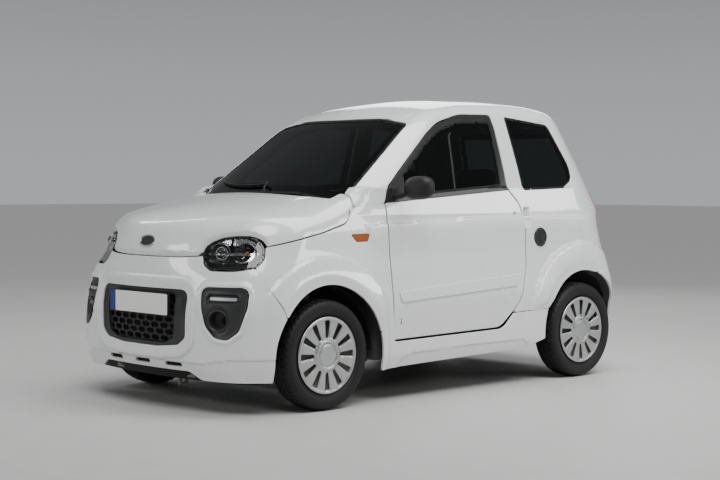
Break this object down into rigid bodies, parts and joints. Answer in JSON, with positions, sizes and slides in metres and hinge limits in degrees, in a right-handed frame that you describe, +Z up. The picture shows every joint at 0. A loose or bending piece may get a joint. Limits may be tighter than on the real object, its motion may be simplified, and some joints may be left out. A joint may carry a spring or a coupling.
{
  "type": "microcar",
  "caption": "Small two-seat microcar with white plastic body, three doors, hinged bonnet and tailgate, steered front wheels and blank plates.",
  "frame": {"origin": "on the ground under the middle of the car's bounding box", "axes": "-Y is the nose, +X the car's left, +Z up"},
  "size_m": [1.72, 2.98, 1.5559],
  "materials": {
    "paint_white": "gloss",
    "plastic_dark": "satin",
    "plastic_black_gloss": "gloss",
    "glass_tinted": "polished",
    "lamp_clear": "gloss",
    "lamp_red": "gloss",
    "lamp_amber": "gloss",
    "tyre_black": "matte",
    "cover_silver": "satin",
    "steel_dark": "matte",
    "aluminium_frame": "satin",
    "liner_black": "matte",
    "cabin_plastic": "matte",
    "seat_fabric": "matte",
    "plate_white": "satin"
  },
  "bodies": {
    "car_body": {"front_bumper": "paint_white", "front_wings": "paint_white", "side_indicators": "lamp_amber", "sills": "paint_white", "floor_pan": "liner_black", "chassis_frame": "aluminium_frame", "cross_members": "aluminium_frame", "jack_pads": "steel_dark", "tow_members": "steel_dark", "arch_liners": "liner_black", "side_frames": "paint_white", "fuel_cap": "plastic_dark", "scuttle": "plastic_dark", "roof_panel": "paint_white", "windscreen": "glass_tinted", "quarter_windows": "glass_tinted", "rear_bumper": "paint_white", "tail_lamps": "lamp_red", "headlamps": "lamp_clear", "fog_bezels": "plastic_dark", "grille": "plastic_dark", "front_plate": "plate_white", "wiper": "plastic_dark", "dashboard": "cabin_plastic", "seat_bases": "cabin_plastic", "seat_cushions": "seat_fabric", "seat_backs": "seat_fabric", "front_axle": "steel_dark", "rear_axle": "steel_dark", "engine_block": "steel_dark", "exhaust": "steel_dark"},
    "door_left": {"door_left": "paint_white", "door_glass_left": "glass_tinted", "mirror_left": "plastic_dark"},
    "door_right": {"door_right": "paint_white", "door_glass_right": "glass_tinted", "mirror_right": "plastic_dark"},
    "bonnet": {"bonnet": "paint_white", "bonnet_badge": "plastic_black_gloss"},
    "tailgate": {"tailgate": "paint_white", "tailgate_glass": "glass_tinted", "rear_plate": "plate_white"},
    "knuckle_left": {"knuckle_left": "steel_dark"},
    "knuckle_right": {"knuckle_right": "steel_dark"},
    "steering": {"steering_wheel": "cabin_plastic"},
    "wheel_front_left": {"tyre_front_left": "tyre_black", "wheel_front_left": "cover_silver"},
    "wheel_front_right": {"tyre_front_right": "tyre_black", "wheel_front_right": "cover_silver"},
    "wheel_rear_left": {"tyre_rear_left": "tyre_black", "wheel_rear_left": "cover_silver"},
    "wheel_rear_right": {"tyre_rear_right": "tyre_black", "wheel_rear_right": "cover_silver"}
  },
  "joints": [
    {"name": "door_left_hinge", "type": "hinge", "parent": "car_body", "child": "door_left", "pos_m": [0.712, -0.41, 0.42], "axis": [0.0993, 0, -0.9951], "range_deg": [0, 65]},
    {"name": "door_right_hinge", "type": "hinge", "parent": "car_body", "child": "door_right", "pos_m": [-0.712, -0.41, 0.42], "axis": [0.0993, 0, 0.9951], "range_deg": [0, 65]},
    {"name": "bonnet_hinge", "type": "hinge", "parent": "car_body", "child": "bonnet", "pos_m": [0, -0.7, 0.975], "axis": [-1, 0, 0], "range_deg": [0, 50]},
    {"name": "tailgate_hinge", "type": "hinge", "parent": "car_body", "child": "tailgate", "pos_m": [0, 1.206, 1.434], "axis": [1, 0, 0], "range_deg": [0, 75]},
    {"name": "steer_left", "type": "hinge", "parent": "car_body", "child": "knuckle_left", "pos_m": [0.545, -0.91, 0.265], "axis": [0, 0, 1], "range_deg": [-32, 32]},
    {"name": "steer_right", "type": "hinge", "parent": "car_body", "child": "knuckle_right", "pos_m": [-0.545, -0.91, 0.265], "axis": [0, 0, 1], "range_deg": [-32, 32]},
    {"name": "steering_wheel_turn", "type": "hinge", "parent": "car_body", "child": "steering", "pos_m": [0.3, -0.175, 0.905], "axis": [0, 0.8829, 0.4695], "range_deg": [-480, 480]},
    {"name": "wheel_front_left_spin", "type": "hinge", "parent": "knuckle_left", "child": "wheel_front_left", "pos_m": [0.66, -0.91, 0.265], "axis": [1, 0, 0], "continuous": true},
    {"name": "wheel_front_right_spin", "type": "hinge", "parent": "knuckle_right", "child": "wheel_front_right", "pos_m": [-0.66, -0.91, 0.265], "axis": [1, 0, 0], "continuous": true},
    {"name": "wheel_rear_left_spin", "type": "hinge", "parent": "car_body", "child": "wheel_rear_left", "pos_m": [0.66, 1.015, 0.265], "axis": [1, 0, 0], "continuous": true},
    {"name": "wheel_rear_right_spin", "type": "hinge", "parent": "car_body", "child": "wheel_rear_right", "pos_m": [-0.66, 1.015, 0.265], "axis": [1, 0, 0], "continuous": true}
  ],
  "couplings": [
    {"joint": "steer_right", "follows": "steer_left", "ratio": 1},
    {"joint": "steering_wheel_turn", "follows": "steer_left", "ratio": 15}
  ]
}
